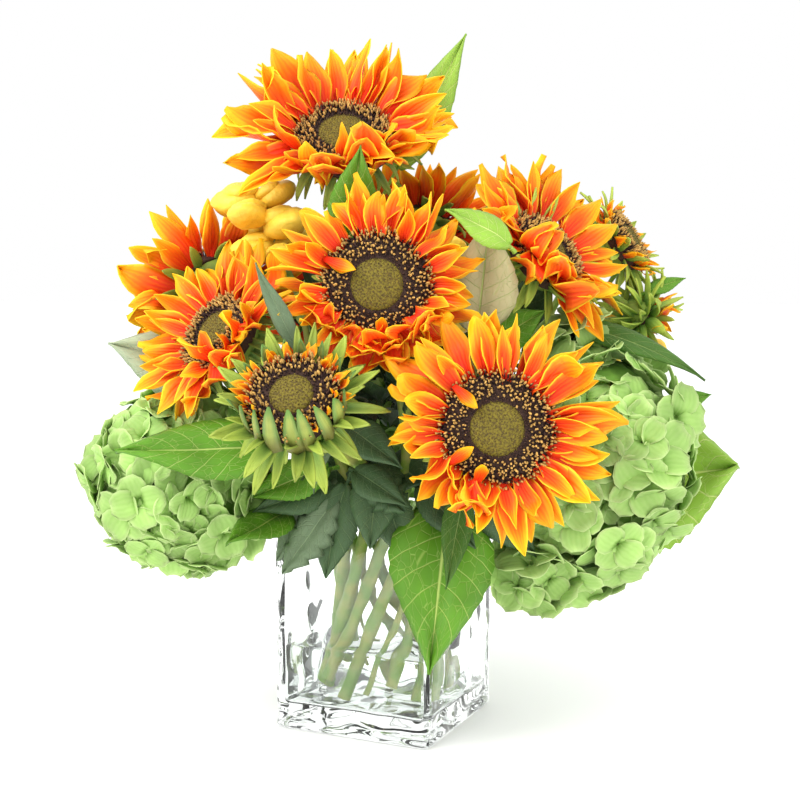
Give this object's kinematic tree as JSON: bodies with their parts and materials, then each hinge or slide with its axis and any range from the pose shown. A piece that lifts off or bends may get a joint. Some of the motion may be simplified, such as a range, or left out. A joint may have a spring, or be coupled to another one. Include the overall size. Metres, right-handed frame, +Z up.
{
  "type": "sunflower bouquet in a glass vase",
  "caption": "Square clear glass vase with water, holding a rounded bouquet of orange sunflowers, green hydrangeas, yellow slipper flowers and leaves.",
  "frame": {"origin": "centre of the vase's foot, on the surface that it stands on", "axes": "+Z up, X and Y along the vase's sides, the bouquet's best side faces away from the origin 25 degrees from -Y towards +X"},
  "size_m": [0.3605, 0.3346, 0.4384],
  "materials": {
    "sunflower_petals": "matte",
    "seed_discs": "matte",
    "stems": "satin",
    "hydrangea_florets": "matte",
    "slipper_flowers": "satin",
    "green_leaves": "satin",
    "grey_leaves": "matte",
    "vase_glass": "polished",
    "water": "polished"
  },
  "bodies": {
    "root": {"sunflower_top_petals": "sunflower_petals", "sunflower_top_seed_disc": "seed_discs", "sunflower_top_stem": "stems", "sunflower_centre_petals": "sunflower_petals", "sunflower_centre_seed_disc": "seed_discs", "sunflower_centre_stem": "stems", "sunflower_low_right_petals": "sunflower_petals", "sunflower_low_right_seed_disc": "seed_discs", "sunflower_low_right_stem": "stems", "sunflower_left_back_petals": "sunflower_petals", "sunflower_left_back_seed_disc": "seed_discs", "sunflower_left_back_stem": "stems", "sunflower_left_petals": "sunflower_petals", "sunflower_left_seed_disc": "seed_discs", "sunflower_left_stem": "stems", "sunflower_half_open_petals": "sunflower_petals", "sunflower_half_open_seed_disc": "seed_discs", "sunflower_half_open_stem": "stems", "sunflower_right_petals": "sunflower_petals", "sunflower_right_seed_disc": "seed_discs", "sunflower_right_stem": "stems", "sunflower_top_back_petals": "sunflower_petals", "sunflower_top_back_seed_disc": "seed_discs", "sunflower_top_back_stem": "stems", "sunflower_back_petals": "sunflower_petals", "sunflower_back_seed_disc": "seed_discs", "sunflower_back_stem": "stems", "sunflower_far_right_petals": "sunflower_petals", "sunflower_far_right_seed_disc": "seed_discs", "sunflower_far_right_stem": "stems", "sunflower_small_right_petals": "sunflower_petals", "sunflower_small_right_seed_disc": "seed_discs", "sunflower_small_right_stem": "stems", "hydrangea_left_head": "hydrangea_florets", "hydrangea_left_stem": "stems", "hydrangea_right_head": "hydrangea_florets", "hydrangea_right_stem": "stems", "hydrangea_back_head": "hydrangea_florets", "hydrangea_back_stem": "stems", "slipper_flowers_left": "slipper_flowers", "slipper_flowers_centre": "slipper_flowers", "slipper_flowers_right": "slipper_flowers", "leaf_top": "green_leaves", "leaf_below_top": "green_leaves", "leaf_folded": "green_leaves", "leaf_left_upper": "grey_leaves", "leaf_left_broad": "green_leaves", "leaf_left_low": "green_leaves", "leaf_rim_left": "grey_leaves", "leaf_grey_front": "grey_leaves", "leaf_front_hanging": "green_leaves", "leaf_front_small": "green_leaves", "leaf_right_slim": "green_leaves", "leaf_right_broad": "green_leaves", "leaf_back_left": "green_leaves", "leaf_back_right": "green_leaves", "vase": "vase_glass", "water": "water"}
  },
  "joints": []
}
